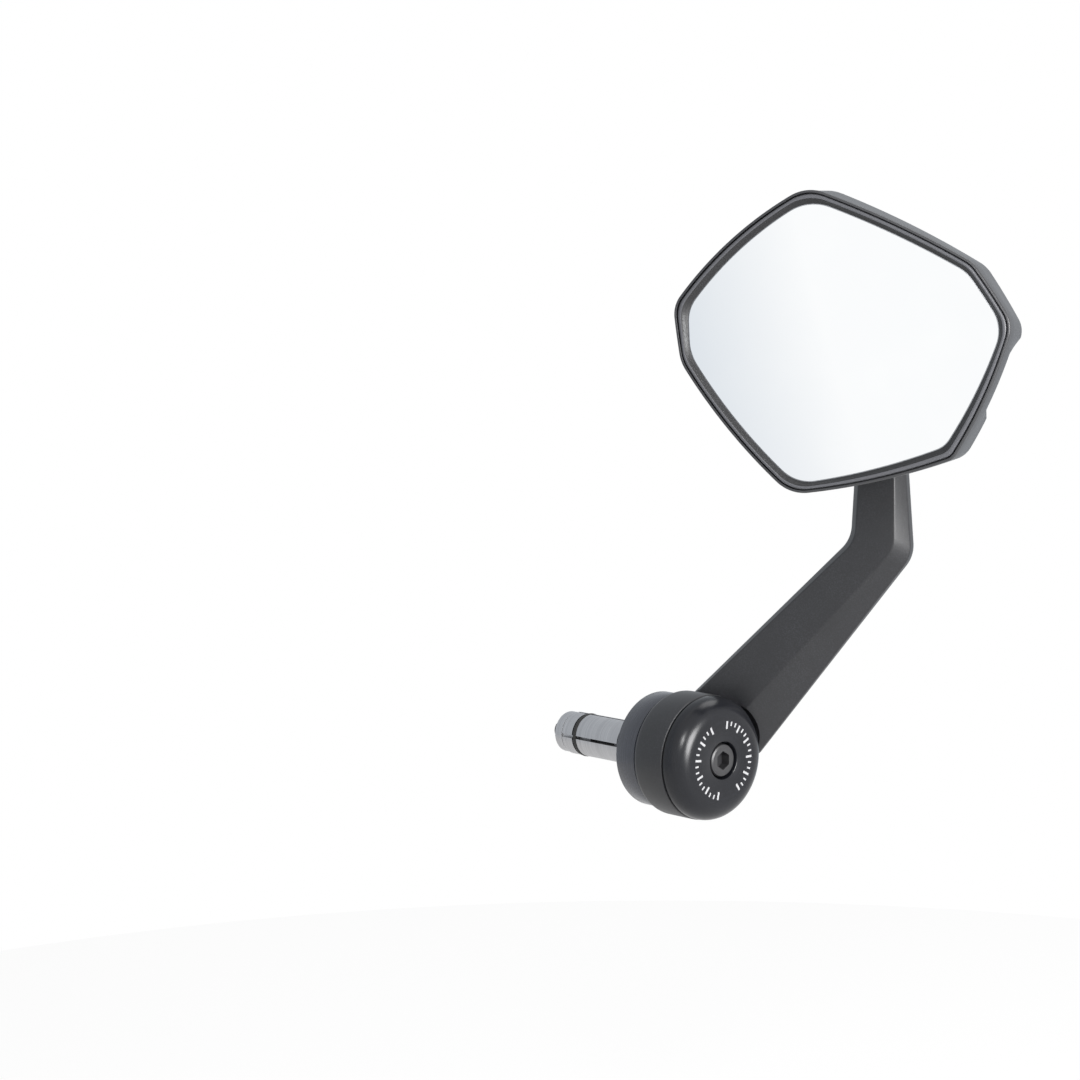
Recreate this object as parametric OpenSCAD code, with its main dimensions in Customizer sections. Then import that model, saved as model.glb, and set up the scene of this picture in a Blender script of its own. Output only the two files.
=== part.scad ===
// Motorcycle bar end mirror, right-hand side.
// Millimetres. +X runs outboard along the bar axis, +Y points forward, +Z up.
// The origin is on the bar axis, in the face that meets the bar end.

/* [View] */
// Piece to draw, or all of them

/* [Bar insert] */
// Outside diameter of the relaxed jaws, for a 14 mm bar bore
jaw_diameter = 13.5; // [12.5:0.1:15.5]
// Length of the four jaws
jaw_length = 33; // [28:1:40]
// Cut between two jaws
jaw_gap = 1; // [0.6:0.1:1.6]
// Length of the conical part of each wedge
wedge_length = 11; // [8:0.5:12]

/* [Bar end stack] */
// Outside diameter of the spacer ring
spacer_diameter = 35.5; // [33:0.5:38]
// Width of the spacer ring
spacer_width = 8; // [6:0.5:12]
// Outside diameter of the hub of the arm
hub_diameter = 38.4; // [36:0.2:42]
// Width of the hub
hub_width = 12.9; // [10:0.1:16]
// Outside diameter of the end cap
cap_diameter = 38; // [36:0.5:40]
// Thickness of the end cap
cap_thickness = 7; // [6.5:0.1:9]
// Shoulder radius of the end cap
cap_shoulder = 6.2; // [4:0.1:6.2]
// Diameter of the turned spigot that the hub swivels on
spigot_diameter = 16; // [14:0.5:18]
// Thickness of each friction washer
washer_thickness = 0.4; // [0.3:0.1:1.2]

/* [Arm] */
// Angle of the arm's broad face, outboard of straight back
arm_turn = 25; // [15:1:30]
// Height of the ball stud above the bar axis
stud_height = 108; // [100:1:120]
// Thickness of the arm at its upper end
arm_thickness = 9; // [8:0.5:11]
// Depth of the long bevel on the outboard edge, at the elbow
bevel_depth = 4.3; // [3:0.1:5]
// Radius of the elbow edges
elbow_radius = 10; // [6:0.5:13]

/* [Ball joint] */
// Diameter of the ball
ball_diameter = 13; // [12:0.5:14]
// Free gap between the ball, its liner and the socket
ball_gap = 0.3; // [0.2:0.05:0.4]
// Largest tilt of the head, each way
head_swing = 15; // [8:1:16]

/* [Mirror head] */
// Width of the head over its rim
head_width = 99.8; // [97:0.2:105]
// Depth of the side wall, from the rim to the rounded back edge
wall_depth = 17; // [16:0.5:20]
// Thickness of the housing wall
shell_wall = 2.2; // [1.8:0.1:2.6]
// Hollow in the outboard side wall
scoop_depth = 2; // [0:0.1:2.4]
// Radius of curvature of the mirror glass
glass_radius = 1200; // [800:50:2000]
// Thickness of the mirror glass
glass_thickness = 2; // [1.6:0.1:2.6]

/* [Hidden] */

$fn = 72;
edge_break = 0.4;
run_gap = 0.05;

black_paint = [0.26, 0.26, 0.28];
dark_metal = [0.4, 0.4, 0.42];
steel = [0.72, 0.73, 0.75];
rubber = [0.08, 0.08, 0.08];
nylon = [0.85, 0.85, 0.8];
plastic = [0.12, 0.12, 0.13];

// Positions along the bar axis
hub_start = spacer_width + washer_thickness + run_gap;
hub_end = hub_start + hub_width;
cap_start = hub_end + run_gap + washer_thickness;
cap_end = cap_start + cap_thickness;
spacer_radius = spacer_diameter / 2;
hub_radius = hub_diameter / 2;
cap_radius = cap_diameter / 2;
spigot_radius = spigot_diameter / 2;
hub_round = 2.5;
bush_radius = spigot_radius + 1.5;

// The M6 screw and what sits under its head
screw_radius = 3;
screw_clear = 0.2;
screw_length = 70;
head_radius = 5;
head_height = 4.2;
head_round = 0.8;
hex_size = 5;
hex_depth = 3;
counterbore_radius = 5.7;
head_sink = 0.2;
washer_height = 0.8;
head_seat = cap_end - head_sink - head_height;
counterbore_floor = head_seat - washer_height;

// The expander: two cones that push four jaws outwards, centred by a pilot in the spacer
jaw_radius = jaw_diameter / 2;
pilot_depth = 1;
pilot_radius = jaw_radius - 0.6;
recess_radius = jaw_radius + 0.35;
jaw_start = 4.5;
jaw_end = jaw_start + jaw_length;
jaw_bore = 3.7;
cone_large = jaw_radius - 0.8;
cone_small = 4;
cone_gap = 0.02;
groove_width = 2;
groove_depth = 1.3;
groove_1 = jaw_start + 6;
groove_2 = jaw_end - 6;
ring_section = 0.75;
key_length = 4;

// The arm frame: the broad face is the plane through this point, turned by arm_turn
arm_origin = [22, 12.5, 0];
left_bevel = 3;
root_bevel = 6;
back_round = 1.7;
crease_round = 0.5;
round_steps = 3;
relief_gap = 0.6;
boss_radius = 7.6;
stud_s = 43.2;
stud_spigot = 4;
stud_depth = 4;
arm_floor = 2;
small_screw = 2.5;
small_head = 4.25;
small_head_height = 3;
small_head_bore = 5.2;
small_hex = 3;
small_hex_depth = 1.8;
stud_screw_length = 10.5;
stud_bore = 5;
nut_size = 11;
nut_height = 2.2;

// Elbow and ends of the four long edges, as [s, z] in the arm frame
left_outer = [[-15.1, 17.5], [34.6, 67.0], [36.6, stud_height]];
left_crease = [[-12.1, 18.9], [36.8, 66.6], [38.8, stud_height]];
right_crease = [[2.9, 13.8], [48.9, 64.5], [48.4, stud_height]];
right_outer = [[5.2, -0.7], [53.0, 62.3], [49.4, stud_height]];
// Where the edges sink into the hub
root_left = [-12.5, -4];
root_right = [-3.2, -8];
root_depth = 6;
root_thickness = 9;
elbow_steps = 8;
run_steps = 4;

// The ball and its socket
ball_radius = ball_diameter / 2;
liner_inner = ball_radius + ball_gap;
liner_wall = 2.7;
liner_outer = liner_inner + liner_wall;
socket_radius = liner_outer + ball_gap;
neck_radius = 3.2;
ball_reach = 15;
socket_front = 5;
plate_thickness = 2.4;
plate_clear = 1.4;
pan_radius = 2.75;
pan_height = 1.8;
swing_both = acos(pow(cos(head_swing), 2));
swing_gap = 1.2;
liner_front = 6;
slit_width = 1;

// Depths behind the rim plane: glass, pad, carrier, screws, plate, ball
glass_front = 1;
pad_back = 4.8;
carrier_thickness = 1.6;
carrier_back = pad_back + carrier_thickness;
ball_depth = carrier_back + plate_clear + pan_height + plate_thickness + socket_front;
head_depth = ball_depth + ball_reach;

// The head frame: u across, v up, depth behind the rim plane
head_centre = [stud_s + 1, stud_height + 19];
ball_uv = [stud_s - head_centre[0], stud_height - head_centre[1]];
head_k = head_width / 99.8;

// Corner arcs and edge arcs of the rim, clockwise from the top corner
rim_corners = head_k * [[-12.8, 33.9], [29.1, 14.9], [37.1, 3.3], [27.9, -30.4], [-14.1, -33.1], [-43.2, -4.2], [-46.8, 7.9]];
back_corners = head_k * [[-13, 34.7], [28.3, 14.2], [39, 2.6], [25.1, -27.9], [-14, -31.8], [-42, -3.6], [-45.6, 7.8]];
rim_radii = head_k * [9.6, 8.7, 8.7, 3.6, 10.9, 8.3, 6.9];
back_radii = head_k * [9.6, 8.9, 6.1, 6.5, 10.9, 8.3, 6.9];
edge_radii = head_k * [287, 186, 135, 194, 171, 249, 108];
corner_steps = 4;
edge_steps = [4, 4, 8, 4, 4, 4, 3];
// The hollow lies on one edge: places along it, and how deep it is there
scoop_edge = 2;
scoop_start = 8;
rim_straight = 5;
scoop_places = [0.08, 0.17, 0.28, 0.42, 0.56, 0.64, 0.72];
scoop_shape = [0.5, 0.85, 1, 1, 1, 0.8, 0.1];
scoop_push = [0.955, -0.295];

// Rim, bezel and glass
lip_width = 0.75;
lip_round = 0.6;
rebate_depth = 2.3;
bezel_gap = 0.3;
bezel_round = 0.5;
bezel_land = 2.6;
bezel_inner = 3.35;
skirt_gap = 0.1;
bezel_wall = 0.6;
bezel_skirt = 4.4;
glass_inset = 3;
glass_play = 0.1;
pad_inset = 3.3;
carrier_inset = 3.1;

// Back of the housing
back_inset = 3;
back_rise = 3.6;
back_crown = 2.2;
cup_face = ball_depth + 8.5;
cup_wall = 3.1;
cup_radius = socket_radius + cup_wall;
cup_flange = cup_radius + 2;
cup_front = ball_depth - socket_front;
flange_depth = ball_depth + 0.5;
flange_height = 1.6;
seat_radius = 17.5;
cup_play = 0.05;
plate_screw_length = 8;
carrier_screw_length = 7;
plate_reach = 18.2;
plate_hole = sqrt(socket_radius * socket_radius - socket_front * socket_front);
post_radius = 3.2;
thread_radius = 1.5;
post_depth = wall_depth + 4;
carrier_posts = head_k * [[-36, 8], [-12, 31], [30, 8], [-31, -15]];

// Drawing helpers

module along_x() {
    rotate([0, 90, 0]) children();
}

module ring_x(x0, x1, r_out, r_in) {
    along_x() translate([0, 0, x0]) difference() {
        cylinder(h = x1 - x0, r = r_out);
        translate([0, 0, -1]) cylinder(h = x1 - x0 + 2, r = r_in);
    }
}

module in_arm_frame() {
    translate(arm_origin) rotate([0, 0, arm_turn]) children();
}

// The arm frame with z running back along the ball stud, centred on it
module on_stud() {
    in_arm_frame() translate([stud_s, 0, stud_height]) rotate([-90, 0, 0]) children();
}

// The head frame with x across, y up and z towards the viewer, from the rim plane
module in_head_frame() {
    in_arm_frame() translate([head_centre[0], -head_depth, head_centre[1]]) rotate([90, 0, 0]) children();
}

// Head outline

function angle_of(p) = atan2(p[1], p[0]);
function turn_back(a0, a1) = a1 > a0 ? a1 - 360 : a1;
function arc_point(c, r, a) = c + r * [cos(a), sin(a)];
function mix(a, b, t) = a + (b - a) * t;
function clamp01(t) = max(0, min(1, t));
function mean(pts) = [for (p = pts) 1 / len(pts)] * pts;

// Centre of the edge arc of radius e that touches two corner arcs from outside
function edge_centre(c1, r1, c2, r2, e) =
    let (a = e - r1, b = e - r2, d = norm(c2 - c1), x = (a * a - b * b + d * d) / (2 * d))
    let (u = (c2 - c1) / d)
    c1 + u * x + [u[1], -u[0]] * sqrt(a * a - x * x);

function place_on(edge, step) = edge == scoop_edge ? scoop_places[step - 1] : step / edge_steps[edge];

function outline(c, r, inset) =
    let (n = len(c))
    let (e = [for (i = [0 : n - 1]) edge_centre(c[i], r[i], c[(i + 1) % n], r[(i + 1) % n], edge_radii[i])])
    [for (i = [0 : n - 1])
        let (a0 = angle_of(c[i] - e[(i + n - 1) % n]), a1 = turn_back(a0, angle_of(c[i] - e[i])))
        let (b1 = turn_back(a1, angle_of(c[(i + 1) % n] - e[i])))
        each concat(
            [for (j = [0 : corner_steps]) arc_point(c[i], max(r[i] - inset, 0.1), mix(a0, a1, j / corner_steps))],
            [for (j = [1 : edge_steps[i] - 1]) arc_point(e[i], edge_radii[i] - inset, mix(a1, b1, place_on(i, j)))]
        )];

// How much of the hollow each point of the outline takes
scoop_parts = [for (i = [0 : len(rim_radii) - 1]) each concat(
    [for (j = [0 : corner_steps]) 0],
    [for (j = [1 : edge_steps[i] - 1]) i == scoop_edge ? scoop_shape[j - 1] : 0]
)];

// Ring of the side wall at one depth: straight behind the rim, then the rim outline
// turns into the back outline, and the hollow grows into the outboard edge
function wall_ring(inset, depth) =
    let (t = clamp01((depth - rim_straight) / (wall_depth - rim_straight)))
    let (hollow = scoop_depth * clamp01((depth - scoop_start) / (wall_depth - scoop_start)))
    let (front = outline(rim_corners, rim_radii, inset), back = outline(back_corners, back_radii, inset))
    [for (i = [0 : len(front) - 1])
        let (p = mix(front[i], back[i], t), q = p - hollow * scoop_parts[i] * scoop_push)
        [q[0], q[1], -depth]];

function flat_ring(inset, depth) = [for (p = wall_ring(inset, depth)) [p[0], p[1]]];

function toward(ring, centre, t, depth) =
    [for (p = ring) [mix(p[0], centre[0], t), mix(p[1], centre[1], t), -depth]];

function glass_depth(p, behind) = glass_front + behind + (p[0] * p[0] + p[1] * p[1]) / (2 * glass_radius);

function glass_ring(inset, behind) =
    [for (p = outline(rim_corners, rim_radii, inset)) [p[0], p[1], -glass_depth(p, behind)]];

// Closed mesh through a list of rings that returns to its first ring
module ring_loop(rings) {
    n = len(rings[0]);
    m = len(rings);
    polyhedron(
        points = [for (ring = rings) each ring],
        faces = [for (k = [0 : m - 1], i = [0 : n - 1], h = [0, 1])
            let (a = k * n + i, b = k * n + (i + 1) % n, c = ((k + 1) % m) * n + (i + 1) % n, d = ((k + 1) % m) * n + i)
            h == 0 ? [a, b, c] : [a, c, d]]
    );
}

// Closed mesh through a chain of rings, with a point at each end
module ring_chain(first, rings, last) {
    n = len(rings[0]);
    m = len(rings);
    polyhedron(
        points = concat([first], [for (ring = rings) each ring], [last]),
        faces = concat(
            [for (i = [0 : n - 1]) [0, 1 + (i + 1) % n, 1 + i]],
            [for (k = [0 : m - 2], i = [0 : n - 1], h = [0, 1])
                let (a = 1 + k * n + i, b = 1 + k * n + (i + 1) % n)
                h == 0 ? [a, b, b + n] : [a, b + n, a + n]],
            [for (i = [0 : n - 1]) [1 + n * m, 1 + (m - 1) * n + i, 1 + (m - 1) * n + (i + 1) % n]]
        )
    );
}

// Bar end

module spacer_ring() color(dark_metal) along_x() rotate_extrude() polygon([
    [screw_radius + screw_clear, pilot_depth],
    [recess_radius, pilot_depth],
    [recess_radius, 0],
    [spacer_radius - edge_break, 0],
    [spacer_radius, edge_break],
    [spacer_radius, spacer_width - edge_break],
    [spacer_radius - edge_break, spacer_width],
    [spigot_radius, spacer_width],
    [spigot_radius, cap_start - 0.2 - edge_break],
    [spigot_radius - edge_break, cap_start - 0.2],
    [screw_radius + screw_clear, cap_start - 0.2]
]);

module friction_washer_1() color(nylon)
    ring_x(spacer_width, spacer_width + washer_thickness, spacer_radius - 0.6, spigot_radius + run_gap);

module friction_washer_2() color(nylon)
    ring_x(cap_start - washer_thickness, cap_start, cap_radius - 0.6, spigot_radius + run_gap);

module end_cap() color(black_paint) along_x() rotate_extrude() difference() {
    union() {
        translate([0, cap_start]) square([cap_radius - cap_shoulder, cap_thickness]);
        translate([0, cap_start]) square([cap_radius - edge_break, cap_thickness - cap_shoulder]);
        translate([0, cap_start + edge_break]) square([cap_radius, cap_thickness - cap_shoulder - edge_break]);
        intersection() {
            translate([cap_radius - cap_shoulder, cap_end - cap_shoulder]) circle(r = cap_shoulder);
            translate([0, cap_start + edge_break]) square([cap_radius, cap_thickness]);
        }
    }
    translate([-1, cap_start - 1]) square([1 + screw_radius + screw_clear, cap_thickness + 2]);
    translate([-1, counterbore_floor]) square([1 + counterbore_radius, cap_thickness]);
    polygon([
        [-1, cap_end - edge_break],
        [counterbore_radius, cap_end - edge_break],
        [counterbore_radius + edge_break + 0.1, cap_end + 0.1],
        [-1, cap_end + 0.1]
    ]);
}

module cap_washer() color(steel)
    ring_x(counterbore_floor, head_seat, head_radius, screw_radius + screw_clear);

module cap_screw() color(steel) along_x() difference() {
    rotate_extrude() polygon([
        [0, head_seat - screw_length],
        [screw_radius - 0.6, head_seat - screw_length],
        [screw_radius, head_seat - screw_length + 0.6],
        [screw_radius, head_seat],
        [head_radius, head_seat],
        [head_radius, head_seat + head_height - head_round],
        [head_radius - head_round * 0.3, head_seat + head_height - head_round * 0.3],
        [head_radius - head_round, head_seat + head_height],
        [0, head_seat + head_height]
    ]);
    translate([0, 0, head_seat + head_height - hex_depth])
        cylinder(h = hex_depth + 1, r = hex_size / 2 / cos(30), $fn = 6);
}

// Bar insert

module wedge_outer() color(dark_metal) along_x() rotate_extrude() polygon([
    [screw_radius + screw_clear, -jaw_start - wedge_length],
    [cone_small, -jaw_start - wedge_length],
    [cone_large, -jaw_start],
    [jaw_radius, -jaw_start + 0.2],
    [jaw_radius, 0],
    [pilot_radius, 0],
    [pilot_radius, pilot_depth],
    [screw_radius + screw_clear, pilot_depth]
]);

module wedge_inner() color(dark_metal) {
    along_x() rotate_extrude() polygon([
        [screw_radius, -jaw_end - key_length],
        [jaw_radius - 1, -jaw_end - key_length],
        [jaw_radius - 0.25, -jaw_end - key_length + 0.75],
        [jaw_radius - 0.25, -jaw_end - 0.2],
        [cone_large, -jaw_end],
        [cone_small, -jaw_end + wedge_length],
        [screw_radius, -jaw_end + wedge_length]
    ]);
    // Key in the cut between two jaws, so that the cone can't turn with the screw
    translate([-jaw_end - 0.2, -jaw_gap / 2 + 0.1, cone_small])
        cube([key_length, jaw_gap - 0.2, jaw_radius - cone_small - 0.6]);
}

module expander_jaw(turn) color(dark_metal) intersection() {
    along_x() rotate_extrude() polygon([
        [cone_large + cone_gap, -jaw_start],
        [jaw_radius - edge_break, -jaw_start],
        [jaw_radius, -jaw_start - edge_break],
        [jaw_radius, -groove_1 + groove_width / 2],
        [jaw_radius - groove_depth, -groove_1 + groove_width / 2],
        [jaw_radius - groove_depth, -groove_1 - groove_width / 2],
        [jaw_radius, -groove_1 - groove_width / 2],
        [jaw_radius, -groove_2 + groove_width / 2],
        [jaw_radius - groove_depth, -groove_2 + groove_width / 2],
        [jaw_radius - groove_depth, -groove_2 - groove_width / 2],
        [jaw_radius, -groove_2 - groove_width / 2],
        [jaw_radius, -jaw_end + edge_break],
        [jaw_radius - edge_break, -jaw_end],
        [cone_large + cone_gap, -jaw_end],
        [cone_small + cone_gap, -jaw_end + wedge_length],
        [jaw_bore, -jaw_end + wedge_length + 0.5],
        [jaw_bore, -jaw_start - wedge_length - 0.5],
        [cone_small + cone_gap, -jaw_start - wedge_length]
    ]);
    rotate([turn, 0, 0]) translate([-jaw_end - 1, jaw_gap / 2, jaw_gap / 2])
        cube([jaw_length + 2, jaw_radius + 1, jaw_radius + 1]);
}

module expander_jaw_1() {
    expander_jaw(0);
}

module expander_jaw_2() {
    expander_jaw(90);
}

module expander_jaw_3() {
    expander_jaw(180);
}

module expander_jaw_4() {
    expander_jaw(270);
}

module o_ring(x) color(rubber) along_x() translate([0, 0, x])
    rotate_extrude() translate([jaw_radius - groove_depth + ring_section, 0]) circle(r = ring_section, $fn = 24);

module o_ring_1() {
    o_ring(-groove_1);
}

module o_ring_2() {
    o_ring(-groove_2);
}

// Arm

// Point on one long edge: lower run, elbow arc, upper run
function edge_point(e, i) =
    let (down = (e[0] - e[1]) / norm(e[0] - e[1]), up = (e[2] - e[1]) / norm(e[2] - e[1]))
    let (half = acos(down * up) / 2, reach = elbow_radius / tan(half))
    let (mid = (down + up) / norm(down + up), centre = e[1] + mid * elbow_radius / sin(half))
    let (a0 = angle_of(e[1] + down * reach - centre), a1 = angle_of(e[1] + up * reach - centre))
    let (sweep = a1 - a0 > 180 ? a1 - a0 - 360 : a1 - a0 < -180 ? a1 - a0 + 360 : a1 - a0)
    i < run_steps ? mix(e[0], e[1] + down * reach, i / run_steps)
    : i <= run_steps + elbow_steps ? arc_point(centre, elbow_radius, a0 + sweep * (i - run_steps) / elbow_steps)
    : mix(e[1] + up * reach, e[2], (i - run_steps - elbow_steps) / run_steps);

function at_depth(p, d) = [p[0], d, p[1]];

// Each corner of a closed section becomes a small curve that starts and ends r away from it
function soften(pts, radii) =
    let (n = len(pts))
    [for (i = [0 : n - 1])
        let (p = pts[i], before = pts[(i + n - 1) % n] - p, after = pts[(i + 1) % n] - p)
        let (a = p + before * radii[i] / norm(before), b = p + after * radii[i] / norm(after))
        each [for (k = [0 : round_steps]) mix(mix(a, p, k / round_steps), mix(p, b, k / round_steps), k / round_steps)]];

// Section of the arm: broad face, long bevel, back and narrow bevel
function arm_section(lo, lc, rc, ro, bevel, left, thick) = soften(
    [at_depth(lc, 0), at_depth(rc, 0), at_depth(ro, bevel), at_depth(ro, thick), at_depth(lo, thick), at_depth(lo, left)],
    [crease_round, crease_round, crease_round, back_round, back_round, crease_round]
);

function arm_station(i) =
    let (n = 2 * run_steps + elbow_steps, t = clamp01(i / run_steps))
    arm_section(
        edge_point(left_outer, i), edge_point(left_crease, i),
        edge_point(right_crease, i), edge_point(right_outer, i),
        mix(root_bevel, bevel_depth, t), left_bevel, mix(root_thickness, arm_thickness, i / n)
    );

module arm_loft() {
    count = 2 * run_steps + elbow_steps;
    root = arm_section(
        root_left, mix(root_left, root_right, 0.2), mix(root_left, root_right, 0.8), root_right,
        2, 1, root_depth
    );
    rings = concat([for (i = [count : -1 : 0]) arm_station(i)], [root]);
    ring_chain(mean(rings[0]), rings, mean(root));
}

module hub_blank() {
    along_x() rotate_extrude() union() {
        translate([0, hub_start]) square([hub_radius - hub_round, hub_width]);
        translate([0, hub_start + hub_round]) square([hub_radius, hub_width - hub_round - edge_break]);
        translate([0, hub_start + hub_round]) square([hub_radius - edge_break, hub_width - hub_round]);
        translate([hub_radius - hub_round, hub_start + hub_round]) circle(r = hub_round);
    }
}

module mirror_arm() color(black_paint) difference() {
    union() {
        hub_blank();
        in_arm_frame() arm_loft();
        on_stud() cylinder(h = arm_thickness - edge_break, r = boss_radius);
        on_stud() cylinder(h = arm_thickness, r = boss_radius - edge_break);
    }
    along_x() cylinder(h = hub_end + 1, r = bush_radius);
    // Reliefs that let the arm turn past the spacer and past the cap
    along_x() translate([0, 0, -10]) cylinder(h = hub_start + 10, r = spacer_radius + relief_gap);
    along_x() translate([0, 0, hub_end]) cylinder(h = 30, r = cap_radius + relief_gap);
    on_stud() translate([0, 0, -1]) cylinder(h = stud_depth + 1, r = stud_spigot);
    on_stud() cylinder(h = arm_thickness, r = small_screw + screw_clear);
    on_stud() translate([0, 0, stud_depth + arm_floor]) cylinder(h = arm_thickness, r = small_head_bore);
}

module hub_bush() color(nylon)
    ring_x(hub_start, hub_end, bush_radius, spigot_radius + run_gap);

module ball_stud() color(steel) on_stud() difference() {
    union() {
        translate([0, 0, 1 - ball_reach]) cylinder(h = ball_reach - 1, r = neck_radius);
        cylinder(h = stud_depth - 0.2, r = stud_spigot);
    }
    translate([0, 0, -stud_bore]) cylinder(h = stud_bore + stud_depth, r = small_screw);
}

module joint_ball() color(steel) on_stud() translate([0, 0, -ball_reach]) difference() {
    sphere(r = ball_radius);
    cylinder(h = ball_reach, r = neck_radius);
}

module lock_nut() color(steel) on_stud() translate([0, 0, -nut_height]) difference() {
    cylinder(h = nut_height, r = nut_size / 2 / cos(30), $fn = 6);
    translate([0, 0, -1]) cylinder(h = nut_height + 2, r = neck_radius);
}

module stud_washer() color(steel) on_stud() translate([0, 0, stud_depth + arm_floor]) difference() {
    cylinder(h = washer_height, r = small_head_bore - 0.4);
    translate([0, 0, -1]) cylinder(h = washer_height + 2, r = small_screw + screw_clear);
}

module stud_screw() color(steel) on_stud() translate([0, 0, stud_depth + arm_floor + washer_height]) difference() {
    union() {
        translate([0, 0, -stud_screw_length]) cylinder(h = stud_screw_length + 0.5, r = small_screw);
        cylinder(h = small_head_height - 0.8, r = small_head);
        translate([0, 0, small_head_height - 0.8]) cylinder(h = 0.8, r1 = small_head, r2 = small_head - 0.8);
    }
    translate([0, 0, small_head_height - small_hex_depth])
        cylinder(h = 3, r = small_hex / 2 / cos(30), $fn = 6);
}

// Head

// Cone that the neck sweeps when the head tilts, as a cut from the ball centre backwards
module neck_cone(swing) {
    cylinder(h = ball_reach, r1 = neck_radius / cos(swing) + swing_gap,
        r2 = neck_radius / cos(swing) + swing_gap + ball_reach * tan(swing));
}

module ball_liner() color(nylon) on_stud() translate([0, 0, -ball_reach]) difference() {
    sphere(r = liner_outer);
    sphere(r = liner_inner);
    neck_cone(head_swing);
    translate([0, 0, -liner_front - 10]) cylinder(h = 10, r = liner_outer + 1);
    for (a = [45, 135]) rotate([0, 0, a]) translate([-liner_outer - 1, -slit_width / 2, -liner_outer])
        cube([2 * liner_outer + 2, slit_width, liner_outer + 2]);
}

module at_ball() {
    translate([ball_uv[0], ball_uv[1], -ball_depth]) children();
}

module plate_holes() {
    for (a = [90, 210, 330]) rotate([0, 0, a]) translate([plate_reach, 0, 0]) children();
}

module carrier_holes() {
    for (p = carrier_posts) translate([p[0], p[1], 0]) children();
}

module housing_shell() {
    middle = [ball_uv[0], ball_uv[1] / 2];
    outer_back = wall_ring(back_inset, wall_depth);
    inner_back = wall_ring(shell_wall + 1, wall_depth);
    depth_outer = wall_depth + back_rise;
    depth_inner = depth_outer - shell_wall;
    levels = [rim_straight, scoop_start, (scoop_start + wall_depth) / 2];
    ring_chain(
        [middle[0], middle[1], -depth_outer - back_crown],
        concat(
            [toward(outer_back, middle, 0.5, depth_outer + back_crown * 0.75)],
            [for (a = [90 : -30 : 30]) wall_ring(back_inset * (1 - cos(a)), wall_depth + back_rise * sin(a))],
            [wall_ring(0, wall_depth)],
            [for (i = [len(levels) - 1 : -1 : 0]) wall_ring(0, levels[i])],
            [for (a = [0 : 30 : 90]) wall_ring(lip_round * (1 - cos(a)), lip_round * (1 - sin(a)))],
            [wall_ring(lip_width, 0), wall_ring(lip_width, rebate_depth), wall_ring(shell_wall, rebate_depth)],
            [for (d = levels) wall_ring(shell_wall, d)],
            [wall_ring(shell_wall + 1, depth_inner)],
            [toward(inner_back, middle, 0.5, depth_inner + back_crown * 0.75)]
        ),
        [middle[0], middle[1], -depth_inner - back_crown]
    );
}

module mirror_housing() color(plastic) in_head_frame() difference() {
    union() {
        housing_shell();
        // Flat seat for the cup's flange, inside the back
        at_ball() translate([0, 0, ball_depth - post_depth - 0.5])
            cylinder(h = post_depth + 0.5 - flange_depth, r = seat_radius);
        at_ball() plate_holes() translate([0, 0, ball_depth - post_depth])
            cylinder(h = post_depth - cup_front, r = post_radius);
        carrier_holes() translate([0, 0, -post_depth]) cylinder(h = post_depth - carrier_back, r = post_radius);
    }
    at_ball() translate([0, 0, -ball_reach]) cylinder(h = ball_reach, r = cup_radius + cup_play);
    at_ball() plate_holes() translate([0, 0, -3]) cylinder(h = 12, r = thread_radius);
    carrier_holes() translate([0, 0, -carrier_back - 9]) cylinder(h = 10, r = thread_radius);
}

module socket_cup() color(plastic) in_head_frame() at_ball() difference() {
    union() {
        translate([0, 0, ball_depth - cup_face + 1]) cylinder(h = cup_face - cup_front - 1, r = cup_radius);
        translate([0, 0, ball_depth - cup_face]) cylinder(h = 1, r1 = cup_radius - 1, r2 = cup_radius);
        translate([0, 0, ball_depth - flange_depth]) cylinder(h = flange_height, r = cup_flange);
    }
    sphere(r = socket_radius);
    cylinder(h = socket_front + 1, r = socket_radius);
    mirror([0, 0, 1]) neck_cone(swing_both);
}

module socket_plate() color(dark_metal) in_head_frame() at_ball() translate([0, 0, ball_depth - cup_front])
    difference() {
        union() {
            cylinder(h = plate_thickness, r = cup_radius);
            plate_holes() cylinder(h = plate_thickness, r = post_radius + 0.4);
            for (a = [90, 210, 330]) rotate([0, 0, a]) translate([cup_radius - 3, -post_radius, 0])
                cube([plate_reach - cup_radius + 3, 2 * post_radius, plate_thickness]);
        }
        translate([0, 0, -1]) cylinder(h = plate_thickness + 2, r = plate_hole);
        plate_holes() translate([0, 0, -1]) cylinder(h = plate_thickness + 2, r = thread_radius + screw_clear);
    }

module plate_screws() color(steel) in_head_frame() at_ball() plate_holes()
    translate([0, 0, ball_depth - cup_front + plate_thickness]) difference() {
        union() {
            cylinder(h = pan_height, r = pan_radius);
            translate([0, 0, -plate_screw_length]) cylinder(h = plate_screw_length + 0.5, r = thread_radius);
        }
        translate([0, 0, 0.6]) cylinder(h = 2, r = 1.1, $fn = 6);
    }

module bezel() color(plastic) in_head_frame() ring_loop([
    wall_ring(lip_width + bezel_gap, rebate_depth),
    wall_ring(lip_width + bezel_gap, bezel_round),
    wall_ring(lip_width + bezel_gap + bezel_round * 0.3, bezel_round * 0.3),
    wall_ring(lip_width + bezel_gap + bezel_round, 0),
    wall_ring(bezel_land - 0.3, 0),
    wall_ring(bezel_land, 0.15),
    glass_ring(bezel_inner, -0.3),
    glass_ring(bezel_inner, -glass_play),
    glass_ring(shell_wall + skirt_gap + bezel_wall, -glass_play),
    wall_ring(shell_wall + skirt_gap + bezel_wall, bezel_skirt),
    wall_ring(shell_wall + skirt_gap, bezel_skirt),
    wall_ring(shell_wall + skirt_gap, rebate_depth)
]);

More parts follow.
